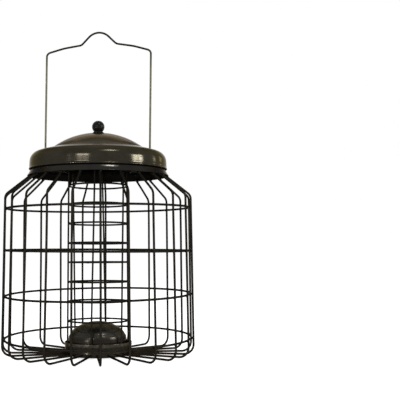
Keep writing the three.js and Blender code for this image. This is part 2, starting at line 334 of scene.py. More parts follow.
def cut(shape, cutters, name):
    """A shape with cutter shapes taken out of it."""
    blank = solid(name + "_blank", shape)
    tool = solid(name + "_tool", joined(cutters))
    modifier = blank.modifiers.new("cut", "BOOLEAN")
    modifier.operation = "DIFFERENCE"
    modifier.solver = "EXACT"
    modifier.object = tool
    graph = bpy.context.evaluated_depsgraph_get()
    mesh = bpy.data.meshes.new_from_object(blank.evaluated_get(graph))
    verts = [v.co / MM for v in mesh.vertices]
    faces = [list(p.vertices) for p in mesh.polygons]
    bpy.data.objects.remove(blank)
    bpy.data.objects.remove(tool)
    return verts, faces


def leg_hole_cutters(low_z, high_z):
    """Upright round cutters for the bail's two legs."""
    cutters = []
    for side in (-1, 1):
        outline = [Vector(p) for p in ((0, low_z), (BAIL_HOLE_R, low_z), (BAIL_HOLE_R, high_z), (0, high_z))]
        verts, faces = lathe(outline, steps=LEG_HOLE_STEPS, closed=False)
        shifted = [v + Vector((side * BAIL_LEG_X, 0, 0)) for v in verts]
        cutters.append((turned_z(shifted, -BAIL_TURN_DEG), faces))
    return cutters


# Finishes
def srgb(r, g, b):
    """A colour written as 0-255 display values."""
    def linear(v):
        v /= 255
        return v / 12.92 if v <= 0.04045 else ((v + 0.055) / 1.055) ** 2.4
    return (linear(r), linear(g), linear(b), 1)


class Finish:
    """A procedural finish built node by node on the Principled shader."""

    def __init__(self, name, **constants):
        self.material = bpy.data.materials.new(name)
        self.material.use_nodes = True
        self.tree = self.material.node_tree
        self.shader = self.tree.nodes["Principled BSDF"]
        for socket, value in constants.items():
            self.shader.inputs[socket.replace("_", " ")].default_value = value
        self.place = self.add("ShaderNodeTexCoord").outputs["Object"]
        self.geometry = self.add("ShaderNodeNewGeometry")

    def add(self, kind, settings=None, **inputs):
        """A node; settings are its attributes, and inputs its sockets with _ for each space."""
        node = self.tree.nodes.new(kind)
        for key, value in (settings or {}).items():
            setattr(node, key, value)
        for key, value in inputs.items():
            self.feed(node.inputs[key.replace("_", " ")], value)
        return node

    def feed(self, socket, value):
        """Set a socket, or link it to another."""
        if isinstance(value, bpy.types.NodeSocket):
            self.tree.links.new(value, socket)
        else:
            socket.default_value = value

    def noise(self, scale, detail=2.0, rough=0.5):
        """Noise from 0 to 1; scale is in waves per metre."""
        return self.add("ShaderNodeTexNoise", Vector=self.place, Scale=scale, Detail=detail,
                        Roughness=rough).outputs["Fac"]

    def spread(self, value, low, high, to_low=0.0, to_high=1.0):
        """A value between low and high as one between to_low and to_high."""
        return self.add("ShaderNodeMapRange", Value=value, From_Min=low, From_Max=high,
                        To_Min=to_low, To_Max=to_high).outputs["Result"]

    def times(self, a, b):
        """The product of two values."""
        node = self.add("ShaderNodeMath", {"operation": "MULTIPLY"})
        self.feed(node.inputs[0], a)
        self.feed(node.inputs[1], b)
        return node.outputs[0]

    def plus(self, a, b):
        """The sum of two values, at most 1."""
        node = self.add("ShaderNodeMath", {"operation": "ADD", "use_clamp": True})
        self.feed(node.inputs[0], a)
        self.feed(node.inputs[1], b)
        return node.outputs[0]

    def mix(self, fac, a, b):
        """A blend of two colours; 6, 7 and 2 are the colour sockets."""
        node = self.add("ShaderNodeMix", {"data_type": "RGBA"})
        self.feed(node.inputs["Factor"], fac)
        self.feed(node.inputs[6], a)
        self.feed(node.inputs[7], b)
        return node.outputs[2]

    def normal_part(self, axis):
        """The surface normal's part along an axis."""
        parts = self.add("ShaderNodeSeparateXYZ", Vector=self.geometry.outputs["Normal"])
        return parts.outputs[axis]

    def height(self):
        """Height above the base, in metres."""
        return self.add("ShaderNodeSeparateXYZ", Vector=self.place).outputs["Z"]

    def facing_in(self):
        """1 where the surface faces down or towards the axis, else 0."""
        flat = self.add("ShaderNodeVectorMath", {"operation": "MULTIPLY"})
        self.feed(flat.inputs[0], self.place)
        flat.inputs[1].default_value = (1, 1, 0)
        outward = self.add("ShaderNodeVectorMath", {"operation": "DOT_PRODUCT"})
        self.feed(outward.inputs[0], flat.outputs["Vector"])
        self.feed(outward.inputs[1], self.geometry.outputs["Normal"])
        inward = self.spread(outward.outputs["Value"], -0.002, -0.012)
        return self.plus(inward, self.spread(self.normal_part("Z"), -0.15, -0.4))

    def bump(self, height, strength, distance, under=None):
        """The normal over dents as deep as distance, in metres."""
        node = self.add("ShaderNodeBump", Height=height, Strength=strength, Distance=distance)
        if under is not None:
            self.feed(node.inputs["Normal"], under)
        return node.outputs["Normal"]

    def done(self, colour, roughness, normal):
        """The material, with its colour, roughness and normal in place."""
        self.feed(self.shader.inputs["Base Color"], colour)
        self.feed(self.shader.inputs["Roughness"], roughness)
        self.feed(self.shader.inputs["Normal"], normal)
        return self.material


def enamel(name, tones, light, rough, metal, edge, inside=None, edge_wear_and_highlight=0.0, spin=0.0, dust=0.1,
           peel=0.25, fleck=0.4, painted_up_tones=None, painted_height_tones=None, wall_edge=None):
    """Baked metallic enamel: drifting tone, orange peel, fine flecks, edges lighter partly as wear and
    partly as a painted highlight, a little dust, and painted light and shade on faces that look up or in and
    over a band of heights.
    """
    f = Finish(name, Metallic=metal, Specular_IOR_Level=0.06, Specular_Tint=edge)
    if wall_edge:
        level = f.spread(f.normal_part("Z"), 0.5, 0.85)
        f.feed(f.shader.inputs["Specular Tint"], f.mix(level, wall_edge, edge))
    cloud = f.spread(f.noise(38, 4, 0.55), 0.34, 0.66)
    colour = f.mix(cloud, srgb(*tones[0]), srgb(*tones[1]))
    # Painted light and shade: faces that look up get tones of their own, for how light falls on them.
    if painted_up_tones:
        painted_up_colour = f.mix(cloud, srgb(*painted_up_tones[0]), srgb(*painted_up_tones[1]))
        colour = f.mix(f.spread(f.normal_part("Z"), 0.12, 0.62), colour, painted_up_colour)
    # Painted light and shade: what lies between two heights, in millimetres, gets tones of its own.
    if painted_height_tones:
        high = f.spread(f.height(), painted_height_tones[0] * MM, painted_height_tones[1] * MM)
        colour = f.mix(high, colour, f.mix(cloud, srgb(*painted_height_tones[2][0]), srgb(*painted_height_tones[2][1])))
    flecks = f.spread(f.noise(2300, 1), 0.62, 0.74, 0, fleck)
    colour = f.mix(flecks, colour, srgb(*light))
    patchy = f.spread(f.noise(210, 3, 0.6), 0.48, 0.66)
    roughness = f.spread(f.noise(95, 3), 0.3, 0.7, rough - 0.03, rough + 0.05)
    # Pointed edges are lighter and rougher, partly as wear and partly as a painted highlight.
    if edge_wear_and_highlight:
        edges = f.spread(f.geometry.outputs["Pointiness"], 0.52, 0.58)
        wear_and_highlight = f.times(f.times(edges, patchy), edge_wear_and_highlight)
        colour = f.mix(wear_and_highlight, colour, srgb(*(min(255, c * 1.7) for c in light)))
        roughness = f.plus(roughness, f.times(wear_and_highlight, 0.2))
    if dust:
        top = f.times(f.spread(f.normal_part("Z"), 0.55, 1.0), f.spread(f.noise(60, 5, 0.7), 0.4, 0.7))
        film = f.times(top, dust)
        colour = f.mix(film, colour, srgb(112, 104, 90))
        roughness = f.plus(roughness, f.times(film, 0.6))
    # Painted shade: what faces down or in towards the axis is darker and duller.
    if inside:
        colour = f.mix(f.facing_in(), colour, srgb(*inside))
        roughness = f.plus(roughness, f.times(f.facing_in(), 0.4))
    normal = f.bump(f.noise(620, 2, 0.45), peel, 0.00012)
    if spin:
        marks = f.add("ShaderNodeTexWave", {"wave_type": "RINGS", "rings_direction": "Z"},
                      Vector=f.place, Scale=190.0, Distortion=0.6, Detail=2.0).outputs["Fac"]
        normal = f.bump(marks, spin, 0.00004, normal)
    return f.done(colour, roughness, normal)


EDGE = (0.37, 0.34, 0.29, 1)         # the tint of each enamel where it is seen edge on
LID_EDGE = (0.33, 0.31, 0.28, 1)
WALL_EDGE = (0.56, 0.525, 0.44, 1)   # the lid's, where it stands upright
BASE_EDGE = (0.42, 0.395, 0.325, 1)
WIRE_EDGE = (0.16, 0.14, 0.11, 1)
# The lid is lighter above 220 mm, painted light; its up-facing roll is a little darker and warmer and its
# inside dark, both painted shade.
lid_finish = enamel("lid_enamel", tones=((40, 38, 32), (51, 48, 41)), light=(92, 86, 66),
                    rough=0.13, metal=0.85, edge=LID_EDGE, wall_edge=WALL_EDGE, inside=(15, 14, 12),
                    painted_up_tones=((39, 37, 29), (48, 45, 36)), painted_height_tones=(220, 225, ((66, 63, 56), (78, 75, 66))),
                    edge_wear_and_highlight=0.4, spin=0.1, dust=0.06, peel=0.12)
# The collar's underside and inside are near black, painted shade.
collar_finish = enamel("collar_enamel", tones=((36, 35, 33), (44, 43, 40)), light=(64, 61, 54),
                       rough=0.1, metal=0.85, edge=EDGE, inside=(12, 11, 9),
                       edge_wear_and_highlight=0.15, spin=0.1, dust=0.03, peel=0.1)
# The dome's up-facing cap is lighter, painted light.
dome_finish = enamel("dome_enamel", tones=((31, 28, 25), (39, 36, 32)), light=(66, 62, 56),
                     rough=0.25, metal=0.85, edge=BASE_EDGE, painted_up_tones=((47, 45, 41), (60, 58, 53)),
                     edge_wear_and_highlight=0.3, spin=0.1, dust=0.05, peel=0.12, fleck=0.25)
# The rolled band round the tray's rim is lighter, painted light.
tray_finish = enamel("tray_enamel", tones=((34, 31, 27), (43, 40, 35)), light=(66, 62, 54),
                     rough=0.2, metal=0.85, edge=BASE_EDGE, painted_height_tones=(10.6, 11.4, ((44, 41, 35), (55, 52, 45))),
                     edge_wear_and_highlight=0.3, spin=0.1, dust=0.05, peel=0.1, fleck=0.25)
# Near the ground the wire turns a warmer brown, a painted warm reflection.
wire_finish = enamel("wire_enamel", tones=((25, 23, 19), (33, 31, 26)), light=(48, 44, 37),
                     rough=0.46, metal=0.8, edge=WIRE_EDGE, painted_height_tones=(9, 3, ((27, 22, 17), (38, 31, 24))),
                     dust=0.03, peel=0.03, fleck=0.1)
# The bail's pale tone is partly its own paler finish and partly painted reflection; above 318 mm it is
# darker, painted shade.
bail_finish = enamel("bail_enamel", tones=((84, 83, 66), (94, 92, 74)), light=(102, 99, 80),
                     rough=0.5, metal=0.8, edge=WIRE_EDGE, painted_height_tones=(318, 340, ((32, 31, 25), (38, 36, 30))),
                     dust=0.0, peel=0.02, fleck=0.08)


def knob_plastic():
    """Moulded black plastic with faint flow marks and handling scuffs."""
    f = Finish("knob_plastic", Specular_IOR_Level=0.07)
    colour = f.mix(f.spread(f.noise(150, 3), 0.35, 0.65), srgb(12, 12, 10), srgb(22, 21, 17))
    scuff = f.spread(f.noise(700, 4, 0.7), 0.6, 0.72, 0, 0.3)
    colour = f.mix(scuff, colour, srgb(44, 42, 36))
    roughness = f.plus(f.spread(f.noise(320, 3), 0.3, 0.7, 0.2, 0.3), f.times(scuff, 0.5))
    return f.done(colour, roughness, f.bump(f.noise(900, 3), 0.12, 0.0001))


def washer_rubber():
    """Matt rubber with a fine moulded grain."""
    f = Finish("washer_rubber", Specular_IOR_Level=0.25)
    colour = f.mix(f.spread(f.noise(400, 3), 0.35, 0.65), srgb(14, 14, 13), srgb(27, 26, 24))
    roughness = f.spread(f.noise(500, 2), 0.3, 0.7, 0.6, 0.78)
    return f.done(colour, roughness, f.bump(f.noise(2600, 2), 0.3, 0.0001))


def screw_steel():
    """Plated steel, a little stained."""
    f = Finish("screw_steel", Metallic=1.0)
    colour = f.mix(f.spread(f.noise(420, 4, 0.6), 0.35, 0.7), srgb(168, 166, 160), srgb(112, 106, 96))
    roughness = f.spread(f.noise(600, 3), 0.3, 0.7, 0.24, 0.42)
    return f.done(colour, roughness, f.bump(f.noise(1500, 2), 0.15, 0.0001))


# Ribs, whose slant comes from the edge of the collar's rim
rim_along = Vector((COLLAR_RIM_R - COLLAR_NECK_R, COLLAR_RIM_Z - LID_EDGE_Z)).normalized()
RIM_INNER = Vector((COLLAR_RIM_R + rim_along.y * COLLAR_SHEET, COLLAR_RIM_Z - rim_along.x * COLLAR_SHEET))
rib_reach = Vector((RIB_SHOULDER_R - RIM_INNER.x, RIM_INNER.y - RIB_SHOULDER_Z))
rib_clear = CAGE_R + GAP
RIB_SLANT = math.atan2(rib_reach.y, rib_reach.x) - math.asin(rib_clear / rib_reach.length)
RIB_RUN = math.sqrt(rib_reach.length ** 2 - rib_clear ** 2) + RIB_TAIL

# Hand-set ribs aren't quite even or straight: millimetres that each one is off
SWAY, BOW, BOW_LENGTH = 0.22, 0.3, 260
sway = [(rng.uniform(-SWAY, SWAY), rng.uniform(-BOW, BOW), rng.uniform(0, math.tau))
        for _ in range(RIB_COUNT)]
RIB_DRIFT = 0.4               # sideways, the same all round
RIB_CROWDING = 1.4            # sideways, towards the front and back
RIB_SPREAD = 1.9              # sideways at the foot, away from the front
LOOSE_Z = 150                 # the spread ends at this height
RIB_END_RISE = 1.3            # the inner ends are welded a little above the ground
RIB_END_SLIPS = {0: -2.2}     # and the front one to one side
FOOT_LIFT = 0.6               # half of how far the back feet are off the ground
FOOT_LIFT_SIDE = 0.4          # and how much more the left ones are


def foot_lift(k):
    """How far rib k's foot is off the ground: only the front ones stand on it."""
    a = math.radians(rib_deg(k))
    return max(0, FOOT_LIFT * (1 + math.sin(a)) - FOOT_LIFT_SIDE * math.cos(a))


def rib_place(k, p):
    """A place on rib k, moved as far as bent wire is off: never quite straight or even."""
    shift, bow, phase = sway[k]
    foot = min(1, max(0, (p.x - TRAY_R) / (RIB_FOOT_R - TRAY_R)))
    tail = min(1, max(0, (COLLAR_RIM_Z - p.y) / (COLLAR_RIM_Z - RIB_SHOULDER_Z)))
    a = math.radians(rib_deg(k))
    low_down = max(0, 1 - p.y / LOOSE_Z)
    uneven = RIB_DRIFT + RIB_CROWDING * math.sin(a) + RIB_SPREAD * math.cos(a) * low_down
    side = (uneven + shift + bow * math.sin(math.tau * p.y / BOW_LENGTH + phase)) * foot * foot * tail
    side += RIB_END_SLIPS.get(k, 0) * (1 - foot)
    low = max(0, 1 - (p.y - CAGE_R) / RIB_FOOT_BEND)
    rise = low * (foot_lift(k) * foot + RIB_END_RISE * (1 - foot))
    return turned_z([Vector((p.x, side, p.y + rise))], rib_deg(k))[0]


def rib_deg(k):
    """Where rib k stands round the cage."""
    return RIB_FIRST_DEG + 360 * k / RIB_COUNT - 90


def rib(k):
    """Rib k's wire, from the tray out, up and in under the collar."""
    tip_r = RIB_SHOULDER_R - RIB_RUN * math.cos(RIB_SLANT)
    tip_z = RIB_SHOULDER_Z + RIB_RUN * math.sin(RIB_SLANT)
    corners = [(RIB_START_R, CAGE_R), (RIB_FOOT_R, CAGE_R, RIB_FOOT_BEND),
               (RIB_SHOULDER_R, RIB_SHOULDER_Z, RIB_SHOULDER_BEND), (tip_r, tip_z)]
    path = [rib_place(k, p) for p in bends(corners, step_deg=10, run=8)]
    return tube(path, turned_z([Vector((0, 1, 0))], rib_deg(k))[0], CAGE_R)


def rib_r(z):
    """How far out a rib's straight side stands at a height."""
    return RIB_FOOT_R + (RIB_SHOULDER_R - RIB_FOOT_R) * (z - CAGE_R) / (RIB_SHOULDER_Z - CAGE_R)


# Hoops and rings
JOINT_PLACES = (0.3, 0.8, 1.4, 2, 3)         # how far on each side of a butt joint the wire has points
JOINT_SWELL = 0.22                           # how much the wire swells there, as a share
JOINT_LIP = 0.7                              # how far from the joint it swells most


def wire_ring(radius, wire, z, joint_deg, steps, tilt):
    """A wire hoop with its butt-welded joint, a slight swelling, at an angle; tilt is as in leaning."""
    angles = {round(360 * k / steps, 4) for k in range(steps)}
    for away in JOINT_PLACES:
        for side in (-1, 1):
            angles.add(round((joint_deg + side * math.degrees(away / radius)) % 360, 4))
    path, swell = [], []
    for deg in sorted(angles):
        x, y = radius * math.cos(math.radians(deg)), radius * math.sin(math.radians(deg))
        path.append(Vector((x, y, z + leaning(tilt, deg, radius))))
        off = abs((deg - joint_deg + 180) % 360 - 180) * math.pi / 180 * radius
        swell.append(1 + JOINT_SWELL * math.exp(-((off - JOINT_LIP) / JOINT_LIP) ** 2))
    return tube(path, Vector((0, 0, 1)), wire, swell=swell, closed=True)


# Weld beads
bead = bmesh.new()
bmesh.ops.create_icosphere(bead, subdivisions=2, radius=1)
BEAD_VERTS = [v.co.copy() for v in bead.verts]
BEAD_FACES = [[v.index for v in face.verts] for face in bead.faces]
bead.free()
LUMP, LUMP_SCALE, SEED_SCALE = 0.16, 1.7, 0.37     # how uneven beads are, how finely, and how unlike
# Half-lengths of the beads outwards, sideways and upwards
HOOP_BEAD = (0.95, 1.5, 1.45)
START_BEAD = (1.5, 1.55, 1.25)
RIM_BEAD = (2.0, 1.5, 0.95)
RING_BEAD = (0.8, 1.25, 1.2)
UPRIGHT_BEAD = (0.6, 1.1, 1.5)
START_BEAD_IN, START_BEAD_UP = 0.4, 0.2      # from the start of a rib's wire
RIM_BEAD_DOWN = 0.4                          # from the gap under the collar's rim
UPRIGHT_WELDS = (7.5, 11, COLLAR_TOP_Z - 2.6)     # heights of an upright's welds to the tray and the collar


def weld(deg, r, z, size, tilt=0.0):
    """An uneven weld bead; size is its half-lengths outwards, sideways and upwards."""
    seed = Vector((deg, r, z)) * SEED_SCALE
    c, s = math.cos(tilt), math.sin(tilt)
    verts = []
    for v in BEAD_VERTS:
        lump = 1 + LUMP * noise.noise(v * LUMP_SCALE + seed)
        x, y, up = (v[i] * size[i] * lump for i in range(3))
        verts.append(Vector((r + x * c - up * s, y, z + x * s + up * c)))
    return turned_z(verts, deg), BEAD_FACES


def moved(piece, offset):
    """Vertices and faces shifted."""
    verts, faces = piece
    return [v + offset for v in verts], faces


# Hand-set hoops aren't quite level: degrees that each one rises towards the right and the back
HOOP_TILTS = [(0.3, 1.3), (0.65, 1.1), (-0.25, 0.6), (0.4, 0.2)]
HOOP_SLIPS = (0, -0.25, 0.7, 0)              # how far each one is off its height
hoop_zs = [z + slip for z, slip in zip(HOOP_HEIGHTS, HOOP_SLIPS)]
# The same for the food rings, which rise towards the back only
RING_TILTS = (-0.4, -0.4, -0.4, -0.4, -1.2, -1.3, -1.65, -1.55)
RING_SLIPS = (0, 0, 0, 0, -0.4, -0.3, -0.7, -1.35)
rings = [(z + slip, (0, tilt)) for z, slip, tilt in zip(FOOD_RING_HEIGHTS, RING_SLIPS, RING_TILTS)]
HOOP_JOINT_DEG, HOOP_JOINT_STEP_DEG, HOOP_STEPS = 97.5, 31.3, 138
RING_JOINT_DEG, RING_JOINT_STEP_DEG, RING_STEPS = 70, 60, 72

# The food column's uprights aren't quite evenly spaced or straight, and twist a little
UPRIGHT_OFF_DEG = (1.6, 0, 0, 0, 3, 0)
COLUMN_TWIST_DEG, TWIST_Z = 0.035, 110       # degrees per mm of height, and where the twist is nil
UPRIGHT_BOW = (0.05, 0.2)                    # the least and the most that one is bent
UPRIGHT_WAVE = 40                            # mm of height for each radian of its wave
UPRIGHT_STEPS = 28


def leaning(tilt, deg, r):
    """How far a tilted hoop rises at an angle on it."""
    right, back = (math.tan(math.radians(t)) for t in tilt)
    return r * (right * math.cos(math.radians(deg)) + back * math.sin(math.radians(deg)))


def cage_welds():
    """The beads at the hoops, at the tray and under the collar's rim."""
    beads = []
    for k in range(RIB_COUNT):
        deg = rib_deg(k)
        for z, tilt in zip(hoop_zs, HOOP_TILTS):
            bent = rib_place(k, Vector((rib_r(z), z)))
            seat_r = rib_r(z) - CAGE_R - GAP / 2
            bead = weld(deg, seat_r, z, HOOP_BEAD)
            straight = turned_z([Vector((rib_r(z), 0, z - leaning(tilt, deg, seat_r)))], deg)[0]
            beads.append(moved(bead, bent - straight))
        end = weld(deg, RIB_START_R - START_BEAD_IN, CAGE_R + RIB_END_RISE + START_BEAD_UP, START_BEAD)
        beads.append(moved(end, turned_z([Vector((0, RIB_END_SLIPS.get(k, 0), 0))], deg)[0]))
        seat = RIM_INNER - Vector((math.sin(RIB_SLANT), math.cos(RIB_SLANT))) * (GAP + RIM_BEAD_DOWN)
        beads.append(weld(deg, seat.x, seat.y, RIM_BEAD, -RIB_SLANT))
    return joined(beads)


def upright_deg(k, z):
    """Where upright k stands round the food column at a height."""
    return (UPRIGHT_FIRST_DEG + 360 * k / UPRIGHT_COUNT - 90 + UPRIGHT_OFF_DEG[k]
            + COLUMN_TWIST_DEG * (z - TWIST_Z))


def upright(k):
    """Upright k's wire."""
    bow, phase = rng.uniform(*UPRIGHT_BOW), rng.uniform(0, math.tau)
    low, high = TRAY_CORNER, COLLAR_TOP_Z
    path = []
    for i in range(UPRIGHT_STEPS + 1):
        z = low + (high - low) * i / UPRIGHT_STEPS
        ends = math.sin(math.pi * i / UPRIGHT_STEPS)
        place = Vector((UPRIGHT_R, bow * math.sin(z / UPRIGHT_WAVE + phase) * ends, z))
        path += turned_z([place], upright_deg(k, z))
    flat = turned_z([Vector((0, 1, 0))], upright_deg(k, TWIST_Z))[0]
    return tube(path, flat, FOOD_R)


def food_welds():
    """The beads at the food rings, at the tray's wall and in the collar's mouth."""
    beads = []
    for k in range(UPRIGHT_COUNT):
        for z, tilt in rings:
            deg, seat_r = upright_deg(k, z), UPRIGHT_R - FOOD_R - GAP / 2
            beads.append(weld(deg, seat_r, z + leaning(tilt, deg, seat_r), RING_BEAD))
        for z in UPRIGHT_WELDS:
            beads.append(weld(upright_deg(k, z), UPRIGHT_R + FOOD_R + GAP / 2, z, UPRIGHT_BEAD))
    return joined(beads)


# Wire pieces
for k in range(RIB_COUNT):
    mesh_piece(f"rib_{k + 1}", rib(k), wire_finish, "cage", [f"cage_rib_{k + 1}"])
for k, (z, tilt) in enumerate(zip(hoop_zs, HOOP_TILTS)):
    radius = rib_r(z) - 2 * CAGE_R - GAP
    joint_deg = HOOP_JOINT_DEG + HOOP_JOINT_STEP_DEG * k
    hoop = wire_ring(radius, CAGE_R, z, joint_deg, HOOP_STEPS, tilt)
    mesh_piece(f"hoop_{k + 1}", hoop, wire_finish, "cage", [f"cage_hoop_{k + 1}"])
for k, (z, tilt) in enumerate(rings):
    joint_deg = RING_JOINT_DEG + RING_JOINT_STEP_DEG * k
    ring = wire_ring(FOOD_RING_R, FOOD_R, z, joint_deg, RING_STEPS, tilt)
    mesh_piece(f"ring_{k + 1}", ring, wire_finish, "cage", [f"food_ring_{k + 1}"])
for k in range(UPRIGHT_COUNT):
    mesh_piece(f"upright_{k + 1}", upright(k), wire_finish, "cage", [f"food_upright_{k + 1}"])
mesh_piece("cage_weld_beads", cage_welds(), wire_finish, "cage")
mesh_piece("food_weld_beads", food_welds(), wire_finish, "cage")

# Collar
COLLAR_HOLE_BEND, COLLAR_SHOULDER_BEND, COLLAR_FLARE_BEND = 1.3, 1.1, 2.2
FLARE_HOLLOW = 0.28           # the skirt is slightly hollow
FLARE_FIRM_SHARE = 0.1        # and its edge is firm
COLLAR_OVERCUT = 4


def collar_skin():
    """The collar's outer skin, from the lip of its hole to the edge of its skirt."""
    skin = bends([(COLLAR_HOLE_R, COLLAR_TOP_Z - COLLAR_LIP_H),
                  (COLLAR_HOLE_R, COLLAR_TOP_Z, COLLAR_HOLE_BEND),
                  (COLLAR_NECK_R, COLLAR_TOP_Z, COLLAR_SHOULDER_BEND),
                  (COLLAR_NECK_R, LID_EDGE_Z, COLLAR_FLARE_BEND),
                  (COLLAR_RIM_R, COLLAR_RIM_Z)], step_deg=12, run=1.2)
    for p in skin:
        down = (LID_EDGE_Z - p.y) / (LID_EDGE_Z - COLLAR_RIM_Z)
        if p.x > COLLAR_NECK_R and 0 < down < 1:
            p.x -= FLARE_HOLLOW * 4 * down * (1 - down)
    skin.insert(-1, skin[-1].lerp(skin[-2], FLARE_FIRM_SHARE))
    return skin


collar = cut(lathe(sheet_outline(collar_skin(), COLLAR_SHEET), start_deg=RIB_FIRST_DEG),
             leg_hole_cutters(COLLAR_RIM_Z, COLLAR_TOP_Z + COLLAR_OVERCUT), "collar")
mesh_piece("collar", collar, collar_finish, "cage", ["cage_collar"])

# Base
TRAY_BAND_H, TRAY_BAND_PROUD, TRAY_BAND_BEND = 3.5, 0.35, 0.3      # the rolled band round the tray's rim
TRAY_ROLL = 0.4                                # half the band's thickness
BAND_FOLD_TOP, BAND_FOLD_FOOT = 1.2, 2         # below the rim, where the band's inside joins the wall
TRAY_SWELL, TRAY_SWELL_DEG = 0.25, 20          # the tray's corner stands a little proud of the wall
TRAY_CORNER_BLEND = 2                          # and meets it this far above the corner
band_z, band_r = TRAY_H - TRAY_BAND_H, TRAY_R + TRAY_BAND_PROUD
tray_corner = arc(TRAY_R + TRAY_SWELL - TRAY_CORNER, TRAY_CORNER, TRAY_CORNER, -90, TRAY_SWELL_DEG, steps=12)
tray_wall = bends([(TRAY_R, TRAY_CORNER + TRAY_CORNER_BLEND),
                   (TRAY_R, band_z - TRAY_BAND_BEND, TRAY_BAND_BEND),
                   (band_r, band_z, TRAY_BAND_BEND),
                   (band_r, TRAY_H - TRAY_ROLL)], step_deg=20)
tray_skin = [Vector((0, 0))] + tray_corner + tray_wall
tray_rim = arc(band_r - TRAY_ROLL, TRAY_H - TRAY_ROLL, TRAY_ROLL, 0, 180, steps=8)
band_inner_r, tray_inner_r = band_r - 2 * TRAY_ROLL, TRAY_R - TRAY_SHEET
tray_inner = bends([(band_inner_r, TRAY_H - TRAY_ROLL),
                    (band_inner_r, TRAY_H - BAND_FOLD_TOP, TRAY_ROLL),
                    (tray_inner_r, TRAY_H - BAND_FOLD_FOOT, TRAY_ROLL),
                    (tray_inner_r, TRAY_SHEET, TRAY_CORNER - TRAY_SHEET),
                    (0, TRAY_SHEET)], step_deg=12)
tray = lathe(tray_skin + tray_rim + tray_inner, start_deg=RIB_FIRST_DEG, closed=False)
mesh_piece("tray", tray, tray_finish, "cage", ["base_tray"])

DOME_WALL_STEPS = 6
LEDGE_Z, LEDGE_HALF, LEDGE_STEP = 22.3, 0.6, 0.5     # below this ledge the skirt stands proud of the cap
DOME_OFF = Vector((-0.8, 0, 0))                      # the dome is welded in a little off the middle
dome_foot = TRAY_SHEET + GAP
press_r, roll_z = DOME_R - DOME_ROLL, dome_foot + DOME_WALL_H
roll_cos, roll_sin = math.cos(math.radians(DOME_ROLL_DEG)), math.sin(math.radians(DOME_ROLL_DEG))
cap_r = (press_r + DOME_ROLL * roll_cos) / roll_cos
cap_z = roll_z + DOME_ROLL * roll_sin - cap_r * roll_sin
dome_skin = arc(0, cap_z, cap_r, 90, DOME_ROLL_DEG, steps=14)[:-1]
dome_skin += arc(press_r, roll_z, DOME_ROLL, DOME_ROLL_DEG, 0, steps=40)
for k in reversed(range(DOME_WALL_STEPS)):
    dome_skin.append(Vector((DOME_R, dome_foot + DOME_WALL_H * k / DOME_WALL_STEPS)))
for p in dome_skin:
    below = min(1, max(-1, (LEDGE_Z - p.y) / LEDGE_HALF))
    if p.x > press_r:
        p.x += LEDGE_STEP * (1 + math.sin(math.pi * below / 2)) / 2
dome_skin[0] = Vector((0, cap_z + cap_r))
dome_outline = sheet_outline(dome_skin, DOME_SHEET)
dome = moved(lathe(dome_outline, steps=144, closed=False), DOME_OFF)
mesh_piece("dome", dome, dome_finish, "cage", ["base_dome"])

# Lid, whose wall swells a little above a straight foot
WALL_FOOT_Z, WALL_SWELL_R, WALL_SWELL_DEG = 206, 90, 5
DOME_STEPS, SLOPE_STEPS = 22, 6
GROOVE_CLEAR = 1.5                             # from the dome's last point to the groove
GROOVE_IN_BEND, GROOVE_BEND, GROOVE_OUT_BEND = 3, 1.2, 2.5
HEM_IN, HEM_FROM_DEG, HEM_TO_DEG = 0.4, 48, -228     # the rolled hem's middle inside the wall, and its turn
SCREW_HOLE_CLEAR = 0.4
crown = arc(LID_R - LID_ROLL, LID_ROLL_Z, LID_ROLL, LID_ROLL_DEG, LID_ROLL_DEG, steps=1)[0]
wall = arc(LID_R - WALL_SWELL_R, WALL_FOOT_Z, WALL_SWELL_R, WALL_SWELL_DEG, 0, steps=5)
swell_rad, crown_rad = math.radians(WALL_SWELL_DEG), math.radians(LID_ROLL_DEG)
roll_r = (wall[0].x - crown.x) / (math.cos(swell_rad) - math.cos(crown_rad))
roll = arc(wall[0].x - roll_r * math.cos(swell_rad), wall[0].y - roll_r * math.sin(swell_rad), roll_r,
           LID_ROLL_DEG, WALL_SWELL_DEG, steps=14)[:-1] + wall


def rim_z(r):
    """Height of the lid's sloping rim at a radius."""
    return roll[0].y + (roll[0].x - r) / math.tan(math.radians(LID_ROLL_DEG))


lid_top_z = rim_z(LID_GROOVE_R) + LID_DOME_RISE
sphere_r = (LID_GROOVE_R ** 2 + LID_DOME_RISE ** 2) / (2 * LID_DOME_RISE)
screw_hole_r = SCREW_R + SCREW_HOLE_CLEAR


def dome_z(r):
    """Height of the lid's dome at a radius."""
    return lid_top_z - sphere_r + math.sqrt(sphere_r ** 2 - r ** 2)


groove_in, groove_out = LID_GROOVE_R - LID_GROOVE_HALF, LID_GROOVE_R + LID_GROOVE_HALF
dome_run = groove_in - GROOVE_CLEAR - screw_hole_r
dome_rs = [screw_hole_r + dome_run * k / DOME_STEPS for k in range(DOME_STEPS + 1)]
lid_groove = [(groove_in, dome_z(groove_in), GROOVE_IN_BEND),
              (LID_GROOVE_R, rim_z(LID_GROOVE_R) - LID_GROOVE_DEPTH, GROOVE_BEND),
              (groove_out, rim_z(groove_out), GROOVE_OUT_BEND)]
lid_skin = bends([(r, dome_z(r)) for r in dome_rs] + lid_groove + [tuple(roll[0])], step_deg=8)
slope = [lid_skin[-1].lerp(lid_skin[-2], k / SLOPE_STEPS) for k in range(SLOPE_STEPS - 1, 0, -1)]
lid_skin = lid_skin[:-1] + slope + roll
hem = arc(LID_R - HEM_IN, LID_EDGE_Z + LID_HEM, LID_HEM, HEM_FROM_DEG, HEM_TO_DEG, steps=14)
lid_outline = lid_skin + hem + beside(lid_skin, LID_SHEET)[::-1]
lid_shape = cut(lathe(lid_outline), leg_hole_cutters(LID_ROLL_Z, lid_top_z), "lid")
mesh_piece("lid_shell", lid_shape, lid_finish, "lid", ["lid"])

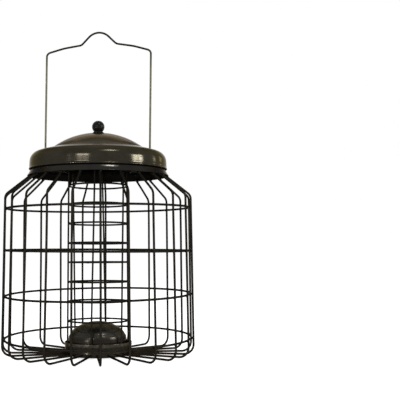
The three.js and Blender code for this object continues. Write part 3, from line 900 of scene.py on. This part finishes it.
# Washer, knob and screw
WASHER_BEND, WASHER_BORE_BEND = 0.5, 0.25
WASHER_SEAM_H = 0.3                            # where its outline starts and ends, up the bore
KNOB_BORE_BEND, KNOB_FOOT_BEND, KNOB_NECK_BEND = 0.3, 0.45, 0.35
THREAD_ROOT_RISE, THREAD_CREST_RISE = 0.2, 0.5     # above each turn's start
RECESS_OVERCUT = 1
washer_z = lid_top_z + GAP
knob_z = washer_z + WASHER_H + GAP
ball_z = knob_z + KNOB_FOOT_H + KNOB_BALL_RISE
seat_deg = -math.degrees(math.asin(KNOB_BALL_RISE / KNOB_BALL_R))
washer_top = washer_z + WASHER_H
washer_seam = (screw_hole_r, washer_z + WASHER_SEAM_H)
washer_outline = bends([washer_seam,
                        (screw_hole_r, washer_z, WASHER_BORE_BEND),
                        (WASHER_R, washer_z, WASHER_BEND),
                        (WASHER_R, washer_top, WASHER_BEND),
                        (screw_hole_r, washer_top, WASHER_BORE_BEND),
                        washer_seam], step_deg=20)[:-1]
washer = lathe(washer_outline, steps=48)
mesh_piece("washer", washer, washer_rubber(), "lid", ["knob_washer"])

ball = arc(0, ball_z, KNOB_BALL_R, seat_deg, 90, steps=26)
knob_corners = [(SCREW_R + GAP, knob_z + KNOB_BORE_H),
                (SCREW_R + GAP, knob_z, KNOB_BORE_BEND),
                (KNOB_FOOT_R, knob_z, KNOB_FOOT_BEND),
                (KNOB_FOOT_R, knob_z + KNOB_FOOT_H, KNOB_NECK_BEND)]
knob_corners += [tuple(p) for p in ball]
knob_outline = [Vector((0, knob_z + KNOB_BORE_H))] + bends(knob_corners, step_deg=18)
knob_outline[-1] = Vector((0, ball_z + KNOB_BALL_R))
knob = lathe(knob_outline, steps=64, closed=False)
mesh_piece("knob_ball", knob, knob_plastic(), "lid", ["lid_knob"])

head_z = lid_top_z - LID_SHEET - GAP
shank_z = knob_z + KNOB_BORE_H - SCREW_END_GAP
screw_outline = ([Vector((0, head_z - SCREW_HEAD_H))]
                 + arc(SCREW_HEAD_R - SCREW_HEAD_H, head_z, SCREW_HEAD_H, -90, 0, steps=8))
screw_outline.append(Vector((SCREW_R, head_z)))
for k in range(math.ceil((shank_z - SCREW_R - head_z) / THREAD_PITCH)):
    z = head_z + THREAD_PITCH * k
    screw_outline.append(Vector((SCREW_R - THREAD_DEPTH, z + THREAD_ROOT_RISE)))
    screw_outline.append(Vector((SCREW_R, z + THREAD_CREST_RISE)))
screw_outline += [Vector((SCREW_R / 2, shank_z)), Vector((0, shank_z))]
recess = []                   # two blocks that cross
BLOCK_FACES = [[3, 2, 1, 0], [4, 5, 6, 7], [0, 1, 5, 4], [1, 2, 6, 5], [2, 3, 7, 6], [3, 0, 4, 7]]
for x_half, y_half in ((RECESS_LONG, RECESS_WIDE), (RECESS_WIDE, RECESS_LONG)):
    plan = [(-x_half, -y_half), (x_half, -y_half), (x_half, y_half), (-x_half, y_half)]
    levels = (head_z - SCREW_HEAD_H - RECESS_OVERCUT, head_z - SCREW_HEAD_H + RECESS_DEPTH)
    recess.append(([Vector((x, y, z)) for z in levels for x, y in plan], BLOCK_FACES))
screw_shape = cut(lathe(screw_outline, steps=40, closed=False), recess, "screw")
mesh_piece("screw", screw_shape, screw_steel(), "lid", ["knob_screw"])

# Bail, which isn't quite true above the lid
BAIL_HOOK_BEND, BAIL_CORNER_BEND, BAIL_SAG_BEND, BAIL_KINK_BEND = 2.5, 5, 60, 6
LEAN_FROM_Z = 232
LEAN_FOOT, LEAN_TOP = -0.8, 0.9               # how far it stands to the right, there and at the arch
RISE_LEFT, RISE_RIGHT = -1.6, 1.1             # how far its shoulders are bent up
RISE_X = 12                                   # the right one from here on
flank = math.radians(BAIL_FLANK_DEG)
arch_z = BAIL_ARCH_TOP_Z + BAIL_ARCH_BEND * (1 / math.cos(flank) - 1) - BAIL_R
kink_z = arch_z - BAIL_KINK_X * math.tan(flank)
bail_half = [(BAIL_LEG_X - BAIL_HOOK, BAIL_HOOK_Z),
             (BAIL_LEG_X, BAIL_HOOK_Z, BAIL_HOOK_BEND),
             (BAIL_LEG_X, BAIL_CORNER_Z, BAIL_CORNER_BEND),
             (BAIL_SAG_X, BAIL_SAG_Z, BAIL_SAG_BEND),
             (BAIL_KINK_X, kink_z, BAIL_KINK_BEND)]
bail_corners = bail_half + [(0, arch_z, BAIL_ARCH_BEND)] + [(-c[0], *c[1:]) for c in bail_half[::-1]]


def bail_place(p):
    """A place on the bail's wire, moved as far as the bent wire is off."""
    up = max(0, p.y - LEAN_FROM_Z) / (BAIL_ARCH_TOP_Z - LEAN_FROM_Z)
    if p.x < 0:
        rise = -RISE_LEFT * p.x / BAIL_LEG_X
    else:
        rise = RISE_RIGHT * min(1, max(0, (p.x - RISE_X) / (BAIL_KINK_X - RISE_X)))
    return Vector((p.x + LEAN_FOOT + (LEAN_TOP - LEAN_FOOT) * up, 0, p.y + rise * up))


bail_path = [bail_place(p) for p in bends(bail_corners, step_deg=8, run=7)]
bail_verts, bail_faces = tube(bail_path, Vector((0, 1, 0)), BAIL_R)
bail = (turned_z(bail_verts, -BAIL_TURN_DEG), bail_faces)
mesh_piece("bail_wire", bail, bail_finish, "cage", ["bail"])


# Floor, light and camera
def seen_white(tree):
    """1 for rays that see the scene directly, in gloss or through glass, else 0."""
    path = tree.nodes.new("ShaderNodeLightPath")
    result = path.outputs["Is Camera Ray"]
    for name in ("Is Glossy Ray", "Is Transmission Ray"):
        add = tree.nodes.new("ShaderNodeMath")
        add.operation = "MAXIMUM"
        tree.links.new(result, add.inputs[0])
        tree.links.new(path.outputs[name], add.inputs[1])
        result = add.outputs[0]
    return result


SKY_FILL = 0.42                               # how brightly the sky lights matt surfaces
FLOOR_HALF, FLOOR_Z = 12.0, -0.0004           # metres
PAPER_TONE, PAPER_GLOW = 0.8, 0.68            # the floor's grey, and what lifts it to white
world = bpy.data.worlds.new("studio")
bpy.context.scene.world = world
world.use_nodes = True
sky = world.node_tree
background = sky.nodes["Background"]
level = sky.nodes.new("ShaderNodeMapRange")
level.inputs["To Min"].default_value = SKY_FILL
level.inputs["To Max"].default_value = 1.0
sky.links.new(seen_white(sky), level.inputs["Value"])
sky.links.new(level.outputs["Result"], background.inputs["Strength"])
background.inputs["Color"].default_value = (1, 1, 1, 1)

floor_mesh = bpy.data.meshes.new("floor")
floor_corners = [(x * FLOOR_HALF, y * FLOOR_HALF, FLOOR_Z) for x, y in ((-1, -1), (1, -1), (1, 1), (-1, 1))]
floor_mesh.from_pydata(floor_corners, [], [(0, 1, 2, 3)])
floor = placed("floor", floor_mesh)
paper = bpy.data.materials.new("paper")
paper.use_nodes = True
tree = paper.node_tree
tree.nodes.clear()
matt = tree.nodes.new("ShaderNodeBsdfDiffuse")
matt.inputs["Color"].default_value = (PAPER_TONE, PAPER_TONE, PAPER_TONE, 1)
glow = tree.nodes.new("ShaderNodeEmission")
lift = tree.nodes.new("ShaderNodeMath")
lift.operation = "MULTIPLY"
lift.inputs[1].default_value = PAPER_GLOW
tree.links.new(seen_white(tree), lift.inputs[0])
tree.links.new(lift.outputs[0], glow.inputs["Strength"])
both = tree.nodes.new("ShaderNodeAddShader")
tree.links.new(matt.outputs[0], both.inputs[0])
tree.links.new(glow.outputs[0], both.inputs[1])
out = tree.nodes.new("ShaderNodeOutputMaterial")
tree.links.new(both.outputs[0], out.inputs["Surface"])
floor_mesh.materials.append(paper)

AIM = Vector((0, 0, 0.2))                     # metres, as are the lamps' distances and sizes
WINDOW_SILL_EL, WINDOW_BAR_EL = 8.5, 1.4      # degrees: where the windows start, and between their rows
WINDOW_DISTANCE = 1.6
LAMP_POWER = 4                                # watts for a square metre of lamp at a radiance of 1


def pane(name, azimuth, elevation, distance, wide, high, radiance):
    """A soft rectangular lamp that faces the feeder; azimuth is from the front towards +X."""
    a, e = math.radians(azimuth), math.radians(elevation)
    back = Vector((math.sin(a) * math.cos(e), -math.cos(a) * math.cos(e), math.sin(e)))
    lamp = bpy.data.lights.new(name, "AREA")
    lamp.shape = "RECTANGLE"
    lamp.size, lamp.size_y = wide, high
    lamp.energy = LAMP_POWER * wide * high * radiance
    item = placed(name, lamp)
    item.location = AIM + back * distance
    item.rotation_mode = "QUATERNION"
    item.rotation_quaternion = back.to_track_quat("Z", "Y")


def window(name, azimuth, pane_az, pane_el, gap_az, radiances):
    """A window's panes: lamps in two columns and in one row for each radiance, from the lowest up."""
    wide = 2 * WINDOW_DISTANCE * math.tan(math.radians(pane_az) / 2)
    high = 2 * WINDOW_DISTANCE * math.tan(math.radians(pane_el) / 2)
    for i, column in enumerate((-0.5, 0.5)):
        for j, radiance in enumerate(radiances):
            az = azimuth + column * (pane_az + gap_az)
            el = WINDOW_SILL_EL + pane_el / 2 + j * (pane_el + WINDOW_BAR_EL)
            pane(f"{name}_{i}{j}", az, el, WINDOW_DISTANCE, wide, high, radiance)


window("window_left", azimuth=-25, pane_az=8.5, pane_el=4.5, gap_az=1.4, radiances=(4, 18))
window("window_right", azimuth=67, pane_az=8.5, pane_el=4.2, gap_az=1.5, radiances=(30, 30))
window("window_side", azimuth=115.5, pane_az=6, pane_el=4.2, gap_az=15, radiances=(5, 2.5))
pane("strip_high", azimuth=-48, elevation=13.5, distance=1.6, wide=0.04, high=0.2, radiance=6)
pane("strip_low", azimuth=-40, elevation=-3.5, distance=1.6, wide=0.035, high=0.2, radiance=260)
pane("overhead", azimuth=26, elevation=54, distance=1.7, wide=0.66, high=0.14, radiance=7)
pane("overhead_core", azimuth=26, elevation=54, distance=1.69, wide=0.32, high=0.16, radiance=26)
pane("back_fill", azimuth=180, elevation=40, distance=1.8, wide=0.9, high=0.6, radiance=1.6)

LENS, SENSOR_WIDTH, SHIFT_X, SHIFT_Y = 73.305, 36, 0.125, 0.04
CAMERA_PLACE = (0, -0.9066, 0.11663)          # metres
TILT_UP_DEG, ROLL_DEG, TURN_DEG = 2.292, 0.151, -3.63
camera_data = bpy.data.cameras.new("camera")
camera_data.sensor_width = SENSOR_WIDTH
camera_data.lens = LENS
camera_data.shift_x = SHIFT_X
camera_data.shift_y = SHIFT_Y
camera = placed("camera", camera_data)
camera.location = CAMERA_PLACE
camera.rotation_euler = (math.radians(90 + TILT_UP_DEG), math.radians(ROLL_DEG), math.radians(TURN_DEG))
bpy.context.scene.camera = camera
bpy.context.scene.view_settings.view_transform = "Standard"
